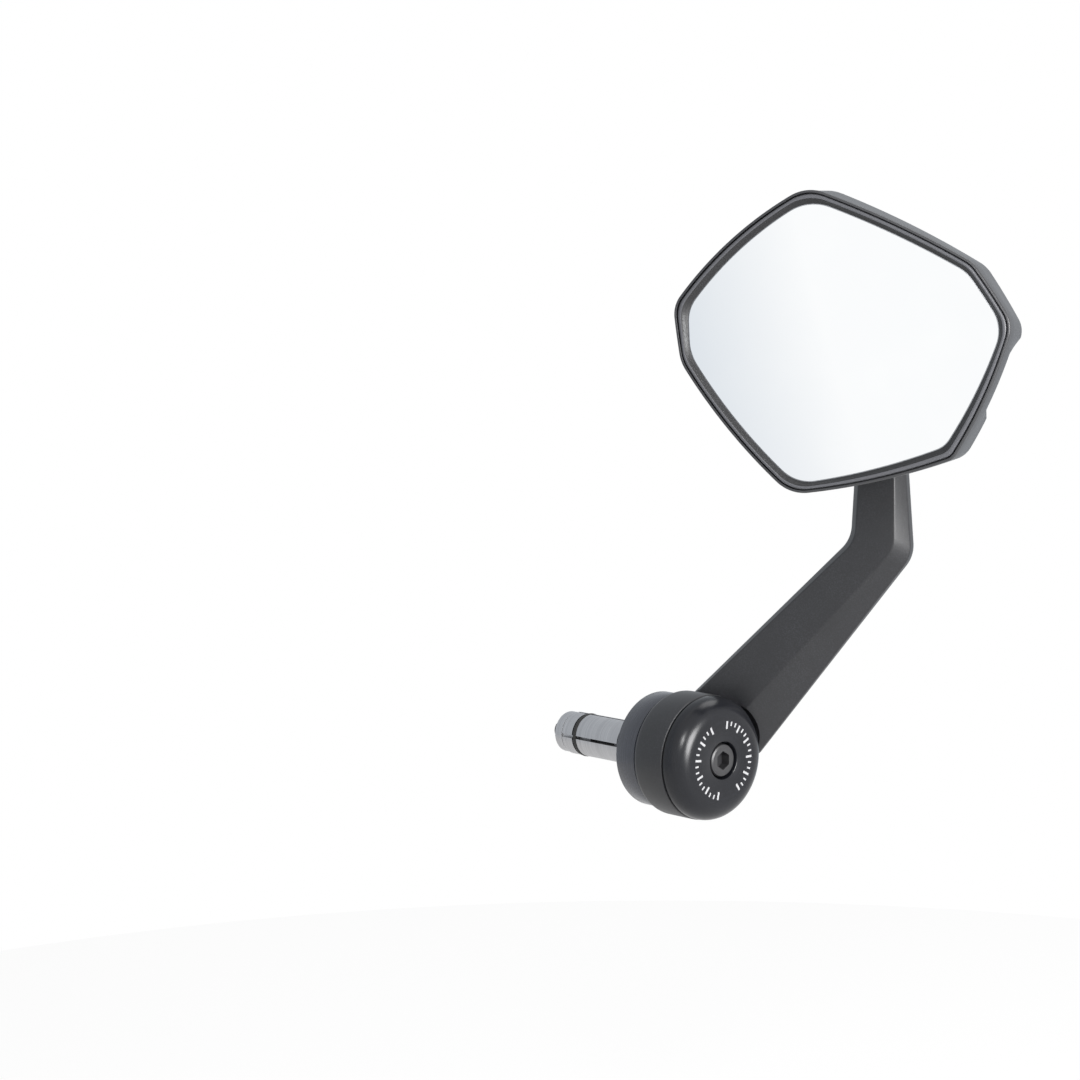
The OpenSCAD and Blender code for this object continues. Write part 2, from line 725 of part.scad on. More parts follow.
// Bowl-shaped block: the space between two curved sheets behind the glass front
module curved_block(front, back) {
    reach = 62 * head_k;
    steps = 12;
    rotate_extrude($fn = 96) polygon(concat(
        [for (i = [0 : steps]) [reach * i / steps, -glass_depth([reach * i / steps, 0], front)]],
        [for (i = [steps : -1 : 0]) [reach * i / steps, -glass_depth([reach * i / steps, 0], back)]]
    ));
}

module mirror_glass() color(steel) in_head_frame() intersection() {
    curved_block(0, glass_thickness);
    translate([0, 0, -10]) linear_extrude(height = 12) polygon(flat_ring(glass_inset, carrier_back));
}

module adhesive_pad() color(rubber) in_head_frame() intersection() {
    curved_block(glass_thickness, 10);
    translate([0, 0, -pad_back]) linear_extrude(height = pad_back) polygon(flat_ring(pad_inset, carrier_back));
}

module glass_carrier() color(plastic) in_head_frame() difference() {
    translate([0, 0, -carrier_back]) linear_extrude(height = carrier_thickness)
        polygon(flat_ring(carrier_inset, carrier_back));
    carrier_holes() translate([0, 0, -carrier_back - 1]) cylinder(h = 3, r = thread_radius);
    carrier_holes() translate([0, 0, -carrier_back]) cylinder(h = carrier_thickness, r1 = thread_radius, r2 = pan_radius);
}

module carrier_screws() color(steel) in_head_frame() carrier_holes() {
    translate([0, 0, -carrier_back - carrier_screw_length])
        cylinder(h = carrier_screw_length + 0.5, r = thread_radius);
    translate([0, 0, -carrier_back]) cylinder(h = carrier_thickness, r1 = thread_radius, r2 = pan_radius);
}

spacer_ring();
friction_washer_1();
friction_washer_2();
end_cap();
cap_washer();
cap_screw();
wedge_outer();
wedge_inner();
expander_jaw_1();
expander_jaw_2();
expander_jaw_3();
expander_jaw_4();
o_ring_1();
o_ring_2();
mirror_arm();
hub_bush();
ball_stud();
joint_ball();
lock_nut();
stud_screw();
stud_washer();
ball_liner();
mirror_housing();
socket_cup();
socket_plate();
plate_screws();
bezel();
mirror_glass();
adhesive_pad();
glass_carrier();
carrier_screws();
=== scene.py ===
"""Looks of a motorcycle bar end mirror: metal finishes, moulded head, convex glass and a plain studio."""
import math

import bmesh
import bpy
from bpy.props import FloatProperty, FloatVectorProperty, IntProperty, PointerProperty
from mathutils import Matrix, Vector


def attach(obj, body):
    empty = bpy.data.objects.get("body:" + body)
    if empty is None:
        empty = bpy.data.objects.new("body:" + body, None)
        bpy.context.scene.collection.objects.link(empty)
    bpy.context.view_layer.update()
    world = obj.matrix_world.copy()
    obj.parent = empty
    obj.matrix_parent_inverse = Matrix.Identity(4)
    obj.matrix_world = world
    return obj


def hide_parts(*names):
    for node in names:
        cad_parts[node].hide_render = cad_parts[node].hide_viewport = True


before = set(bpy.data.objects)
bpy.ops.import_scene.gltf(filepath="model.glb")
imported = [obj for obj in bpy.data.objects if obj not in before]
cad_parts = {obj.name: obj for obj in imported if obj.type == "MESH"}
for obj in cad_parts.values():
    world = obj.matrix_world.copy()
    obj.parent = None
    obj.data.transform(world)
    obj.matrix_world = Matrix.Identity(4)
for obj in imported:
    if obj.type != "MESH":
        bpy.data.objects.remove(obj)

bl_info = {
    "name": "Bar End Mirror Builder",
    "version": (1, 0, 0),
    "blender": (4, 5, 0),
    "location": "View3D > Sidebar > Bar End Mirror",
    "description": "Builds the visible pieces and finishes of a motorcycle bar end mirror",
    "category": "Object",
}

MM = 0.001

# Arm frame: the broad face of the arm is turned outboard from straight back
ARM_ORIGIN = Vector((22.0, 12.5, 0.0))
ARM_TURN = math.radians(25.0)
STUD_S = 43.2
STUD_HEIGHT = 108.0

# Head frame, and depths behind the rim plane
HEAD_CENTRE = (STUD_S + 1.0, STUD_HEIGHT + 19.0)
HEAD_DEPTH = 32.0
BALL_UV = (-1.0, -19.0)
WALL_DEPTH = 17.0
RIM_STRAIGHT = 5.0
SHELL_WALL = 2.2
SHELL_STEP = 12.0
BACK_INSET = 3.0
BACK_RISE = 3.6
BACK_CROWN = 2.2

# Corner arcs of the rim and of the back, clockwise from the top, and the arcs between them
RIM_CORNERS = ((-12.8, 33.2), (29.1, 14.9), (37.1, 3.3), (27.9, -30.4), (-14.1, -33.1), (-43.2, -4.2), (-46.8, 7.9))
BACK_CORNERS = ((-13, 33.8), (28.3, 14.2), (39, 2.6), (25.1, -27.9), (-14, -31.8), (-42, -3.6), (-45.6, 7.8))
RIM_RADII = (9.6, 8.7, 8.7, 3.6, 10.9, 8.3, 6.9)
BACK_RADII = (9.6, 8.9, 6.1, 6.5, 10.9, 8.3, 6.9)
EDGE_RADII = (287, 186, 135, 194, 171, 249, 108)

# How much rounder than its radius each corner is, at the rim and further at the glass
RIM_EXTRA = (2.6, 1.2, 0.6, 0.8, 1.1, 4.0, 1.7)
INNER_EXTRA = (5.0, 4.5, 4.5, 6.0, 3.0, 4.5, 4.5)

# Hollow in the outboard side: its edge of the outline, depths, direction and profile along the edge
SCOOP_EDGE = 2
SCOOP_START = 8.0
SCOOP_DEPTH = 2.0
SCOOP_PUSH = (0.955, -0.295)
SCOOP_PLACES = (0.0, 0.08, 0.17, 0.28, 0.42, 0.56, 0.64, 0.72, 1.0)
SCOOP_SHAPE = (0.0, 0.5, 0.85, 1.0, 1.0, 1.0, 0.8, 0.1, 0.0)

# Rim, bezel and glass
LIP_WIDTH = 0.75
LIP_ROUND = 0.6
REBATE_DEPTH = 2.3
BEZEL_GAP = 0.3
BEAD_HEIGHT = 0.55
BEZEL_LAND = 2.3
BEZEL_INNER = 3.05
BEZEL_SKIRT = 4.4
SKIRT_INSET = 2.9
SKIRT_OUTER = 2.3
GLASS_FRONT = 1.0
GLASS_INSET = 3.0
GROUND_WIDTH = 0.3
GLASS_RADIUS = 1200.0
GLASS_THICKNESS = 2.0

# Long edges of the arm as (s, z): root, elbow corner, top
LEFT_OUTER = ((-15.1, 17.5), (34.6, 67.0), (36.6, STUD_HEIGHT))
LEFT_CREASE = ((-12.1, 18.9), (36.8, 66.6), (38.8, STUD_HEIGHT))
RIGHT_CREASE = ((2.9, 13.8), (48.9, 64.5), (48.4, STUD_HEIGHT))
RIGHT_OUTER = ((5.2, -0.7), (53.0, 62.3), (49.4, STUD_HEIGHT))
ROOT_LEFT = (-12.5, -4.0)
ROOT_RIGHT = (-3.2, -8.0)

# Stack along the bar axis
SPACER_WIDTH = 8.0
HUB_START = 8.45
HUB_END = 21.35
CAP_START = 21.8
CAP_END = 28.8
SPACER_RADIUS = 17.75
HUB_RADIUS = 19.2
CAP_RADIUS = 19.0
CAP_SHOULDER = 6.2
BUSH_RADIUS = 9.5
SCREW_HOLE = 3.2
PILOT_RADIUS = 7.1
PILOT_DEPTH = 1.0
SPIGOT_RADIUS = 8.0
CAP_COUNTERBORE = 5.7
COUNTERBORE_DEPTH = 5.2

# Edge breaks: their size, and the middle point that makes them round
BREAK = 0.4
BREAK_MIDDLE = 0.12

# Arm thickness, and the seats of the ball stud in it
ARM_THICKNESS = 9.0
STUD_COUNTERBORE = 5.2
STUD_SPIGOT = 4.0
BOSS_RADIUS = 7.6

# Printed ticks on the cap: half widths of long and short ones, start of the short ones, and height over the face
LONG_HALF = 0.34
SHORT_HALF = 0.26
SHORT_START = 0.45
MARK_RAISE = 0.03

# Share of the pale floor's own glow towards the camera and reflections
FLOOR_GLOW = 0.85


def mix(a, b, t):
    return a + (b - a) * t


def clamp01(t):
    return max(0.0, min(1.0, t))


def arm_point(s, d, z):
    """Point of the arm frame in the part's frame, in metres."""
    x = ARM_ORIGIN.x + s * math.cos(ARM_TURN) - d * math.sin(ARM_TURN)
    y = ARM_ORIGIN.y + s * math.sin(ARM_TURN) + d * math.cos(ARM_TURN)
    return Vector((x, y, ARM_ORIGIN.z + z)) * MM


def head_point(u, v, depth):
    """Point of the mirror head in the part's frame, in metres."""
    return arm_point(HEAD_CENTRE[0] + u, depth - HEAD_DEPTH, HEAD_CENTRE[1] + v)


def new_object(name, bm, material, body, replaced=(), sharp=32.0):
    """Finish a bmesh as one object that rides on a body."""
    bmesh.ops.remove_doubles(bm, verts=bm.verts, dist=1e-7)
    bmesh.ops.recalc_face_normals(bm, faces=bm.faces)
    mesh = bpy.data.meshes.new(name)
    bm.to_mesh(mesh)
    bm.free()
    mesh.shade_smooth()
    mesh.set_sharp_from_angle(angle=math.radians(sharp))
    mesh.materials.append(material)
    obj = bpy.data.objects.new(name, mesh)
    bpy.context.scene.collection.objects.link(obj)
    if replaced:
        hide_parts(*replaced)
    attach(obj, body)
    return obj


def add_rings(bm, rings, first=None, last=None, loop=False):
    """Quads between closed rings of points, with a fan at an end that has a centre point."""
    rows = [[bm.verts.new(p) for p in ring] for ring in rings]
    n = len(rows[0])
    pairs = list(zip(rows, rows[1:]))
    if loop:
        pairs.append((rows[-1], rows[0]))
    for a, b in pairs:
        for i in range(n):
            j = (i + 1) % n
            bm.faces.new((a[i], a[j], b[j], b[i]))
    for point, row in ((first, rows[0]), (last, rows[-1])):
        if point is not None:
            centre = bm.verts.new(point)
            for i in range(n):
                bm.faces.new((centre, row[i], row[(i + 1) % n]))
    return rows


def lathe(bm, profile, steps=160, closed=True):
    """Turn (x, radius) points round the bar axis."""
    rings = []
    for x, r in profile:
        ring = []
        for i in range(steps):
            a = 2 * math.pi * i / steps
            ring.append(Vector((x, r * math.cos(a), r * math.sin(a))) * MM)
        rings.append(ring)
    add_rings(bm, rings, loop=closed)


def arc_profile(cx, cr, radius, start, stop, steps):
    """Points of a profile fillet, angles in degrees from the +X direction towards larger radius."""
    points = []
    for i in range(steps + 1):
        a = math.radians(mix(start, stop, i / steps))
        points.append((cx + radius * math.cos(a), cr + radius * math.sin(a)))
    return points


def edge_centre(c1, r1, c2, r2, radius):
    a, b = radius - r1, radius - r2
    dx, dy = c2[0] - c1[0], c2[1] - c1[1]
    d = math.hypot(dx, dy)
    x = (a * a - b * b + d * d) / (2 * d)
    h = math.sqrt(a * a - x * x)
    ux, uy = dx / d, dy / d
    return (c1[0] + ux * x + uy * h, c1[1] + uy * x - ux * h)


def rounder(corners, radii, share):
    """Corner arcs with larger radii that still touch the same edges."""
    moved, grown = [], []
    for i, (u, v) in enumerate(corners):
        c = Vector((u, v))
        before = (Vector(corners[i - 1]) - c).normalized()
        after = (Vector(corners[(i + 1) % len(corners)]) - c).normalized()
        half = math.acos(before.dot(after)) / 2
        extra = RIM_EXTRA[i] + INNER_EXTRA[i] * share
        c += (before + after).normalized() * extra / math.sin(half)
        moved.append((c.x, c.y))
        grown.append(radii[i] + extra)
    return moved, grown


def outline(corners, radii, inset, corner_steps=12, edge_steps=32):
    """Closed outline, clockwise from the top corner, as (u, v, share of the hollow)."""
    n = len(corners)
    corners, radii = rounder(corners, radii, clamp01((inset - LIP_WIDTH) / (BEZEL_INNER - LIP_WIDTH)))
    centres = [
        edge_centre(corners[i], radii[i], corners[(i + 1) % n], radii[(i + 1) % n], EDGE_RADII[i]) for i in range(n)
    ]

    def angle(p, q):
        return math.atan2(p[1] - q[1], p[0] - q[0])

    def turn_back(a0, a1):
        return a1 - 2 * math.pi if a1 > a0 else a1

    points = []
    for i in range(n):
        c, e, f = corners[i], centres[i], centres[i - 1]
        k = corners[(i + 1) % n]
        a0 = angle(c, f)
        a1 = turn_back(a0, angle(c, e))
        b1 = turn_back(a1, angle(k, e))
        r = max(radii[i] - inset, 0.1)
        for j in range(corner_steps + 1):
            a = mix(a0, a1, j / corner_steps)
            points.append((c[0] + r * math.cos(a), c[1] + r * math.sin(a), 0.0))
        for j in range(1, edge_steps):
            t = j / edge_steps
            a = mix(a1, b1, t)
            share = hollow_share(t) if i == SCOOP_EDGE else 0.0
            big = EDGE_RADII[i] - inset
            points.append((e[0] + big * math.cos(a), e[1] + big * math.sin(a), share))
    return points


def hollow_share(t):
    for i in range(len(SCOOP_PLACES) - 1):
        a, b = SCOOP_PLACES[i], SCOOP_PLACES[i + 1]
        if t <= b:
            return mix(SCOOP_SHAPE[i], SCOOP_SHAPE[i + 1], (t - a) / (b - a))
    return 0.0


def wall_ring(inset, depth):
    """Ring of the side wall at one depth, as (u, v, depth)."""
    t = clamp01((depth - RIM_STRAIGHT) / (WALL_DEPTH - RIM_STRAIGHT))
    hollow = SCOOP_DEPTH * clamp01((depth - SCOOP_START) / (WALL_DEPTH - SCOOP_START))
    front = outline(RIM_CORNERS, RIM_RADII, inset)
    back = outline(BACK_CORNERS, BACK_RADII, inset)
    ring = []
    for p, q in zip(front, back):
        push = hollow * p[2]
        u = mix(p[0], q[0], t) - push * SCOOP_PUSH[0]
        v = mix(p[1], q[1], t) - push * SCOOP_PUSH[1]
        ring.append((u, v, depth))
    return ring


def glass_depth(u, v, behind=0.0):
    return GLASS_FRONT + behind + (u * u + v * v) / (2 * GLASS_RADIUS)


def glass_ring(inset, behind):
    return [(p[0], p[1], glass_depth(p[0], p[1], behind)) for p in outline(RIM_CORNERS, RIM_RADII, inset)]


def shrink(ring, centre, t, depth):
    return [(mix(p[0], centre[0], t), mix(p[1], centre[1], t), depth) for p in ring]


def in_head(ring):
    return [head_point(*p) for p in ring]


# Shader node groups


def group_frame(name, inputs, outputs):
    """Empty shader group with named sockets, its input and its output node."""
    group = bpy.data.node_groups.new(name, "ShaderNodeTree")
    for label, kind, value in inputs:
        socket = group.interface.new_socket(label, in_out="INPUT", socket_type=kind)
        if value is not None:
            socket.default_value = value
    for label, kind in outputs:
        group.interface.new_socket(label, in_out="OUTPUT", socket_type=kind)
    enter = group.nodes.new("NodeGroupInput")
    leave = group.nodes.new("NodeGroupOutput")
    return group, enter, leave


def math_node(tree, operation, a, b=None, clamp=False):
    node = tree.nodes.new("ShaderNodeMath")
    node.operation = operation
    node.use_clamp = clamp
    for index, value in enumerate((a, b)):
        if value is None:
            continue
        if isinstance(value, (int, float)):
            node.inputs[index].default_value = value
        else:
            tree.links.new(value, node.inputs[index])
    return node.outputs[0]


def noise_node(tree, vector, scale, detail=2.0, rough=0.5):
    node = tree.nodes.new("ShaderNodeTexNoise")
    node.inputs["Detail"].default_value = detail
    node.inputs["Roughness"].default_value = rough
    tree.links.new(vector, node.inputs["Vector"])
    if isinstance(scale, (int, float)):
        node.inputs["Scale"].default_value = scale
    else:
        tree.links.new(scale, node.inputs["Scale"])
    return node.outputs["Fac"]


def remap(tree, value, low, high, to_low, to_high):
    node = tree.nodes.new("ShaderNodeMapRange")
    tree.links.new(value, node.inputs["Value"])
    for label, number in (("From Min", low), ("From Max", high), ("To Min", to_low), ("To Max", to_high)):
        if isinstance(number, (int, float)):
            node.inputs[label].default_value = number
        else:
            tree.links.new(number, node.inputs[label])
    return node.outputs["Result"]


def mix_colour(tree, factor, a, b):
    node = tree.nodes.new("ShaderNodeMix")
    node.data_type = "RGBA"
    tree.links.new(factor, node.inputs[0])
    for socket, value in ((node.inputs[6], a), (node.inputs[7], b)):
        if isinstance(value, tuple):
            socket.default_value = value
        else:
            tree.links.new(value, socket)
    return node.outputs[2]


def grain_group():
    """Fine even grain of a coat or a moulded skin, with slow variation of colour and roughness."""
    inputs = (
        ("Grain Size", "NodeSocketFloat", 2600.0),
        ("Colour", "NodeSocketColor", (0.02, 0.02, 0.02, 1)),
        ("Pale Colour", "NodeSocketColor", (0.04, 0.04, 0.04, 1)),
        ("Roughness", "NodeSocketFloat", 0.4),
        ("Spread", "NodeSocketFloat", 0.08),
    )
    outputs = (("Colour", "NodeSocketColor"), ("Roughness", "NodeSocketFloat"), ("Height", "NodeSocketFloat"))
    group, enter, leave = group_frame("Coat Grain", inputs, outputs)
    place = group.nodes.new("ShaderNodeTexCoord").outputs["Object"]
    fine = noise_node(group, place, enter.outputs["Grain Size"], 2.0, 0.6)
    cloudy = noise_node(group, place, 90.0, 3.0, 0.55)
    specks = remap(group, fine, 0.45, 0.72, 0.0, 1.0)
    blend = math_node(group, "MULTIPLY", specks, remap(group, cloudy, 0.3, 0.7, 0.35, 1.0))
    colour = mix_colour(group, blend, enter.outputs["Colour"], enter.outputs["Pale Colour"])
    group.links.new(colour, leave.inputs["Colour"])
    swing = math_node(group, "MULTIPLY", math_node(group, "SUBTRACT", cloudy, 0.5), enter.outputs["Spread"])
    fleck = math_node(group, "MULTIPLY", math_node(group, "SUBTRACT", fine, 0.5), enter.outputs["Spread"])
    total = math_node(group, "ADD", math_node(group, "ADD", swing, fleck), enter.outputs["Roughness"])
    group.links.new(total, leave.inputs["Roughness"])
    group.links.new(fine, leave.inputs["Height"])
    return group


def turned_group():
    """Lathe lines round the bar axis: rings across a face and bands along a barrel."""
    inputs = (
        ("Line Pitch", "NodeSocketFloat", 5200.0),
        ("Colour", "NodeSocketColor", (0.05, 0.05, 0.05, 1)),
        ("Pale Colour", "NodeSocketColor", (0.09, 0.09, 0.09, 1)),
        ("Roughness", "NodeSocketFloat", 0.32),
        ("Spread", "NodeSocketFloat", 0.12),
    )
    outputs = (("Colour", "NodeSocketColor"), ("Roughness", "NodeSocketFloat"), ("Height", "NodeSocketFloat"))
    group, enter, leave = group_frame("Turned Lines", inputs, outputs)
    place = group.nodes.new("ShaderNodeTexCoord").outputs["Object"]
    split = group.nodes.new("ShaderNodeSeparateXYZ")
    group.links.new(place, split.inputs[0])
    y2 = math_node(group, "MULTIPLY", split.outputs["Y"], split.outputs["Y"])
    z2 = math_node(group, "MULTIPLY", split.outputs["Z"], split.outputs["Z"])
    radius = math_node(group, "SQRT", math_node(group, "ADD", y2, z2))
    join = group.nodes.new("ShaderNodeCombineXYZ")
    group.links.new(split.outputs["X"], join.inputs["X"])
    group.links.new(radius, join.inputs["Y"])
    lines = noise_node(group, join.outputs[0], enter.outputs["Line Pitch"], 1.0, 0.5)
    cloudy = noise_node(group, place, 120.0, 3.0, 0.55)
    streaks = remap(group, lines, 0.35, 0.7, 0.0, 1.0)
    blend = math_node(group, "MULTIPLY", streaks, remap(group, cloudy, 0.3, 0.7, 0.4, 1.0))
    colour = mix_colour(group, blend, enter.outputs["Colour"], enter.outputs["Pale Colour"])
    group.links.new(colour, leave.inputs["Colour"])
    shift = math_node(group, "MULTIPLY", math_node(group, "SUBTRACT", cloudy, 0.5), enter.outputs["Spread"])
    streak = math_node(group, "MULTIPLY", math_node(group, "SUBTRACT", lines, 0.5), enter.outputs["Spread"])
    total = math_node(group, "ADD", math_node(group, "ADD", shift, streak), enter.outputs["Roughness"])
    group.links.new(total, leave.inputs["Roughness"])
    group.links.new(lines, leave.inputs["Height"])
    return group


def seen_directly(tree, path):
    """1 for rays from the camera, also through glass or off a glossy surface."""
    seen = math_node(tree, "MAXIMUM", path.outputs["Is Camera Ray"], path.outputs["Is Glossy Ray"])
    return math_node(tree, "MAXIMUM", seen, path.outputs["Is Transmission Ray"])


def group_named(name, maker):
    return bpy.data.node_groups.get(name) or maker()


def grained_material(name, maker, group_name, size, colour, pale, rough, spread, bump, metallic=0.0, **plain):
    """Principled material whose colour, roughness and bump come from one of the shared groups."""
    material = bpy.data.materials.new(name)
    material.use_nodes = True
    tree = material.node_tree
    shader = tree.nodes["Principled BSDF"]
    effect = tree.nodes.new("ShaderNodeGroup")
    effect.node_tree = group_named(group_name, maker)
    effect.inputs[0].default_value = size
    effect.inputs["Colour"].default_value = (*colour, 1)
    effect.inputs["Pale Colour"].default_value = (*pale, 1)
    effect.inputs["Roughness"].default_value = rough
    effect.inputs["Spread"].default_value = spread
    tree.links.new(effect.outputs["Colour"], shader.inputs["Base Color"])
    tree.links.new(effect.outputs["Roughness"], shader.inputs["Roughness"])
    relief = tree.nodes.new("ShaderNodeBump")
    relief.inputs["Strength"].default_value = bump
    relief.inputs["Distance"].default_value = 0.00005
    tree.links.new(effect.outputs["Height"], relief.inputs["Height"])
    tree.links.new(relief.outputs["Normal"], shader.inputs["Normal"])
    shader.inputs["Metallic"].default_value = metallic
    for label, value in plain.items():
        shader.inputs[label.replace("_", " ")].default_value = value
    return material


def coat(name, size, colour, pale, rough, spread=0.08, bump=0.35, metallic=0.0, **plain):
    return grained_material(name, grain_group, "Coat Grain", size, colour, pale, rough, spread, bump, metallic, **plain)


def turned(name, size, colour, pale, rough, spread=0.12, bump=0.25, metallic=0.0, **plain):
    return grained_material(
        name, turned_group, "Turned Lines", size, colour, pale, rough, spread, bump, metallic, **plain)


def dress(node, material):
    """Give a carried-over CAD node its finish."""
    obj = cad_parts[node]
    if not obj.material_slots:
        obj.data.materials.append(material)
    for place in obj.material_slots:
        place.material = material


def settings():
    return bpy.context.scene.bar_end_mirror


class BarEndMirrorSettings(bpy.types.PropertyGroup):
    """Sizes and colours that a user would change"""

    anodised_colour: FloatVectorProperty(
        name="Anodised Colour", description="Colour of the cap and the spacer", subtype="COLOR",
        default=(0.0060, 0.0065, 0.0085), min=0.0, max=1.0,
    )
    coat_colour: FloatVectorProperty(
        name="Coat Colour", description="Colour of the coated arm", subtype="COLOR",
        default=(0.0088, 0.0091, 0.0108), min=0.0, max=1.0,
    )
    plastic_colour: FloatVectorProperty(
        name="Plastic Colour", description="Colour of the moulded housing and bezel", subtype="COLOR",
        default=(0.027, 0.0275, 0.0305), min=0.0, max=1.0,
    )
    mark_inner: FloatProperty(
        name="Mark Inner Radius", description="Inner radius of the tick marks on the cap", default=9.6 * MM,
        min=7.0 * MM, max=11.0 * MM, unit="LENGTH", subtype="DISTANCE",
    )
    mark_outer: FloatProperty(
        name="Mark Outer Radius", description="Outer radius of the tick marks on the cap", default=12.0 * MM,
        min=11.0 * MM, max=12.6 * MM, unit="LENGTH", subtype="DISTANCE",
    )
    mark_count: IntProperty(
        name="Marks per Arc", description="Number of tick marks in each arc", default=16, min=6, max=24,
    )
    floor_height: FloatProperty(
        name="Floor Height", description="Height of the floor under the bar axis", default=-0.185,
        min=-0.5, max=-0.03, unit="LENGTH", subtype="DISTANCE",
    )
    sky_level: FloatProperty(
        name="Sky Level", description="Strength of the plain sky light", default=0.6, min=0.0, max=2.0,
    )


class MIRROR_OT_bar_end(bpy.types.Operator):
    """Turned cap, spacer and washers at the end of the bar"""

    bl_idname = "bar_end_mirror.bar_end"
    bl_label = "Build Bar End Stack"

    def execute(self, context):
        own = settings()
        base = tuple(own.anodised_colour)
        pale = tuple(c * 1.7 for c in base)
        cap_finish = turned("Anodised Cap", 7000.0, base, pale, 0.25, 0.05, 0.05, Specular_IOR_Level=0.36)
        # Painted sheen: the spacer takes the cap's anodised colour 4.5 times lighter, so that its barrel looks lit
        painted_sheen_colour = tuple(c * 4.5 for c in base)
        painted_sheen_pale = tuple(c * 1.7 for c in painted_sheen_colour)
        ring_finish = turned("Anodised Spacer Painted Sheen", 7000.0, painted_sheen_colour, painted_sheen_pale, 0.26, 0.08, 0.1, Specular_IOR_Level=0.7)
        bm = bmesh.new()
        hole = CAP_COUNTERBORE
        floor = CAP_END - COUNTERBORE_DEPTH
        profile = [(CAP_START, SCREW_HOLE), (CAP_START, CAP_RADIUS - BREAK), (CAP_START + BREAK, CAP_RADIUS)]
        profile += arc_profile(CAP_END - CAP_SHOULDER, CAP_RADIUS - CAP_SHOULDER, CAP_SHOULDER, 90, 0, 28)
        profile += [(CAP_END, hole + BREAK), (CAP_END - BREAK_MIDDLE, hole + BREAK_MIDDLE), (CAP_END - BREAK, hole)]
        profile += [(floor, hole), (floor, SCREW_HOLE)]
        lathe(bm, profile, 192)
        new_object("turned_end_cap", bm, cap_finish, "bar_end", ("end_cap",), 28.0)
        bm = bmesh.new()
        tip = CAP_START - 0.2
        profile = [(PILOT_DEPTH, SCREW_HOLE), (PILOT_DEPTH, PILOT_RADIUS), (0.0, PILOT_RADIUS)]
        profile += [(0.0, SPACER_RADIUS - BREAK), (BREAK_MIDDLE, SPACER_RADIUS - BREAK_MIDDLE)]
        profile += [(BREAK, SPACER_RADIUS), (SPACER_WIDTH - BREAK, SPACER_RADIUS)]
        profile += [(SPACER_WIDTH - BREAK_MIDDLE, SPACER_RADIUS - BREAK_MIDDLE), (SPACER_WIDTH, SPACER_RADIUS - BREAK)]
        profile += [(SPACER_WIDTH, SPIGOT_RADIUS), (tip, SPIGOT_RADIUS), (tip, SCREW_HOLE)]
        lathe(bm, profile, 192)
        new_object("turned_spacer", bm, ring_finish, "bar_end", ("spacer_ring",), 28.0)
        washer = coat("Washer Nylon", 1500.0, (0.03, 0.03, 0.03), (0.05, 0.05, 0.05), 0.45, 0.1, 0.2)
        for node in ("friction_washer_1", "friction_washer_2", "hub_bush"):
            dress(node, washer)
        self.add_marks(own)
        return {"FINISHED"}

    def add_marks(self, own):
        """Two arcs of plain tick marks, printed on the face of the cap."""
        paint = coat("Printed Marks", 3000.0, (0.36, 0.36, 0.37), (0.46, 0.46, 0.47), 0.5, 0.1, 0.1)
        bm = bmesh.new()
        face = (CAP_END + MARK_RAISE) * MM
        for start, stop in ((83.0, -55.0), (118.0, 258.0)):
            for i in range(own.mark_count):
                angle = math.radians(mix(start, stop, i / (own.mark_count - 1)))
                long_mark = i % 3 == 0
                inner = own.mark_inner if long_mark else mix(own.mark_inner, own.mark_outer, SHORT_START)
                half = (LONG_HALF if long_mark else SHORT_HALF) * MM
                out = Vector((0.0, math.cos(angle), math.sin(angle)))
                side = Vector((0.0, -math.sin(angle), math.cos(angle))) * half
                base = Vector((face, 0.0, 0.0))
                corners = [base + out * r + s for r, s in (
                    (inner, -side), (own.mark_outer, -side), (own.mark_outer, side), (inner, side))]
                bm.faces.new([bm.verts.new(p) for p in corners])
        mesh_back = bmesh.ops.extrude_face_region(bm, geom=list(bm.faces))
        moved = [v for v in mesh_back["geom"] if isinstance(v, bmesh.types.BMVert)]
        bmesh.ops.translate(bm, verts=moved, vec=(-2 * MARK_RAISE * MM, 0.0, 0.0))
        new_object("cap_marks", bm, paint, "bar_end")


class MIRROR_OT_screws(bpy.types.Operator):
    """Socket screws, washers and the ball joint's steel pieces"""

    bl_idname = "bar_end_mirror.screws"
    bl_label = "Finish Screws and Ball Joint"

    def execute(self, context):
        zinc = coat("Zinc Plating", 900.0, (0.42, 0.42, 0.43), (0.56, 0.56, 0.57), 0.3, 0.14, 0.12, 1.0)
        dark = turned("Blackened Screw", 5200.0, (0.022, 0.022, 0.024), (0.04, 0.04, 0.042), 0.34, 0.1, 0.12)
        polished = coat("Ball Steel", 700.0, (0.5, 0.5, 0.51), (0.6, 0.6, 0.61), 0.18, 0.08, 0.05, 1.0)
        for node in ("stud_screw", "stud_washer", "lock_nut", "plate_screws", "carrier_screws", "cap_washer"):
            dress(node, zinc)
        for node in ("ball_stud", "joint_ball"):
            dress(node, polished)
        dress("cap_screw", dark)
        nylon = coat("Liner Nylon", 1200.0, (0.6, 0.59, 0.55), (0.7, 0.69, 0.65), 0.42, 0.1, 0.15)
        dress("ball_liner", nylon)
        return {"FINISHED"}


class MIRROR_OT_insert(bpy.types.Operator):
    """Wedges, jaws and rings that grip inside the bar"""

    bl_idname = "bar_end_mirror.insert"
    bl_label = "Finish Bar Insert"

    def execute(self, context):
        metal = turned("Turned Aluminium", 3600.0, (0.4, 0.4, 0.41), (0.56, 0.56, 0.57), 0.42, 0.14, 0.35, 1.0)
        rubber = coat("Ring Rubber", 1400.0, (0.012, 0.012, 0.012), (0.025, 0.025, 0.025), 0.6, 0.12, 0.3)
        for node in ("wedge_outer", "wedge_inner", "expander_jaw_1", "expander_jaw_2", "expander_jaw_3",
                     "expander_jaw_4", "socket_plate"):
            dress(node, metal)
        for node in ("o_ring_1", "o_ring_2"):
            dress(node, rubber)
        return {"FINISHED"}


